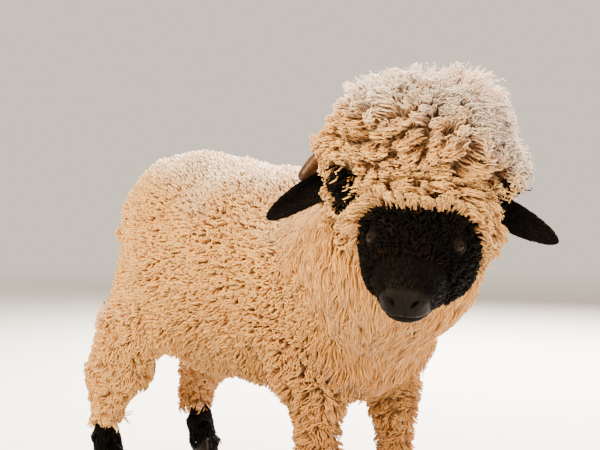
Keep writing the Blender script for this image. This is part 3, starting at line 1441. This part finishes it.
def add_studio():
    """A pale floor that fades into the backdrop, soft light from all round, and the lamps."""
    bm = bmesh.new()
    bmesh.ops.create_circle(bm, cap_ends=True, radius=FLOOR_RADIUS, segments=96)
    mesh = bpy.data.meshes.new("floor")
    bm.to_mesh(mesh)
    bm.free()
    floor = object_of(mesh, "floor")
    glow = {"Emission_Strength": WORLD_STRENGTH}
    finish = Finish("floor", Roughness=0.85, Specular_IOR_Level=0.0, **glow)
    speckle = finish.noise(14.0, 4.0).mix(rgb(0.58, 0.555, 0.52), rgb(0.63, 0.605, 0.57))
    across, along, _ = finish.place().parts()
    far = ((across * across + along * along) ** 0.5).step(*FLOOR_FADE)
    finish.feed(Base_Color=far.mix(speckle, BLACK), Emission_Color=far.mix(BLACK, WORLD_COLOUR))
    mesh.materials.append(finish.material)
    floor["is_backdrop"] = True
    world = bpy.data.worlds.new("studio")
    world.use_nodes = True
    backdrop = world.node_tree.nodes["Background"].inputs
    backdrop["Color"].default_value = WORLD_COLOUR
    backdrop["Strength"].default_value = WORLD_STRENGTH
    bpy.context.scene.world = world
    for lamp in LAMPS:
        add_lamp(*lamp)


# The sheep
# Tones of the wool from root to tip, and where the sun has bleached it
CREAM = (rgb(0.8, 0.455, 0.138), rgb(0.85, 0.49, 0.145), rgb(0.94, 0.62, 0.192))
CROWN_TONES = (rgb(0.36, 0.165, 0.045), rgb(0.62, 0.335, 0.102), rgb(0.92, 0.588, 0.195))
RUFF_TONES = (rgb(0.4, 0.175, 0.036), rgb(0.71, 0.368, 0.088), rgb(0.94, 0.58, 0.165))
SUN_WHITE = rgb(0.93, 0.87, 0.77)
CREST_WHITE = rgb(0.985, 0.96, 0.93)
BLACKS = (rgb(0.0005, 0.0004, 0.0004), rgb(0.0023, 0.0018, 0.0018))
wool = wool_finish("wool", *CREAM, SUN_WHITE)
crown_wool = wool_finish("crown_wool", *CROWN_TONES, CREST_WHITE, spread=0.46, glow=0.28)
ruff_wool = wool_finish("ruff_wool", *RUFF_TONES, SUN_WHITE, spread=0.4)
black_hair = hair_finish("black_hair", *BLACKS, roughness=0.64, brown=0.3)
face_skin = skin_finish()
horn_brown = horn_finish()
claw_dark = claw_finish()
eye_amber = eye_finish()

skin, surface = build_skin()
skin.data.materials.append(face_skin)
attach(skin, "root")
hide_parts(*WOOLLY, "face", "ear_right", "ear_left", *["foot_" + leg for leg in LEGS])

rng = np.random.default_rng(SEED)
BACK = (0.0, 1.0, 0.08)
UPRIGHT = (0.0, 0.0, 1.0)
# Each stretch of coat: its form, the field that asks for it, its finish and slot, the axis that its
# unwrap goes round, the coordinate that it is cut into pieces along, and the quarter it keeps to
COATS = [
    ("fleece", FLEECE, "fleece", wool, "wool", BACK, 1, None),
    ("ruff", RUFF, "ruff", ruff_wool, "wool", (0.1, 0.8, -0.4), 0, None),
    ("topknot", CROWN, "crown", crown_wool, "wool", UPRIGHT, 0, None),
    ("fringe", FRINGE, "fringe", crown_wool, "wool", tuple(FORWARD), 0, None),
    ("crown_wisps", WISP, "wisp", crown_wool, "wool", UPRIGHT, 0, None),
    ("ear_curls", EAR_CURL, "ear_curl", black_hair, "black_hair", UPRIGHT, 0, None),
    ("tail_wool", SHANK, "tail", wool, "wool", UPRIGHT, 1, None),
    ("cheek_hair", CHEEK, "cheek", black_hair, "black_hair", tuple(FORWARD), 2, None),
    ("muzzle_hair", MUZZLE, "muzzle", black_hair, "black_hair", tuple(FORWARD), 2, None),
]
for leg in LEGS:
    end, word = leg.split("_")
    quarter = (-1.0 if word == "right" else 1.0, -1.0 if end == "front" else 1.0, 0.0)
    COATS.append((f"leg_wool_{leg}", SHANK, "shank", wool, "wool", UPRIGHT, 2, quarter))
    foot = (f"foot_hair_{leg}", FOOT_HAIR, "foot", black_hair, "black_hair", UPRIGHT, 2, quarter)
    COATS.append(foot)
for side, word in SIDES:
    looks = (black_hair, "black_hair", tuple(ear_run(word, side)))
    COATS.append((f"ear_hair_{word}", EAR_HAIR, f"ear_{word}", *looks, 2, None))
for name, form, field, material, slot, axis, sort_by, within in COATS:
    for coat in grow(name, surface, form, field, rng, axis, sort_by, within):
        coat.data.materials.append(material)
        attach(coat, "root")

horns = horn_tree(horn_brown)
for side, word in SIDES:
    horn = build_horn(word, side, horns)
    horn.data.materials.append(horn_brown)
    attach(horn, "root")
    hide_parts("horn_" + word)
    eye = build_eye(word, side, eye_amber)
    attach(eye, "root")
    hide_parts("eye_" + word)
for leg in LEGS:
    for word in ("outer", "inner"):
        claw = build_claw(leg, word, claw_dark)
        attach(claw, "root")
        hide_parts(f"claw_{leg}_{word}")

add_camera()
add_studio()
sizes = {"cad": cad_box, "visual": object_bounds()}
sizes = {name: [list(corner) for corner in box] for name, box in sizes.items()}
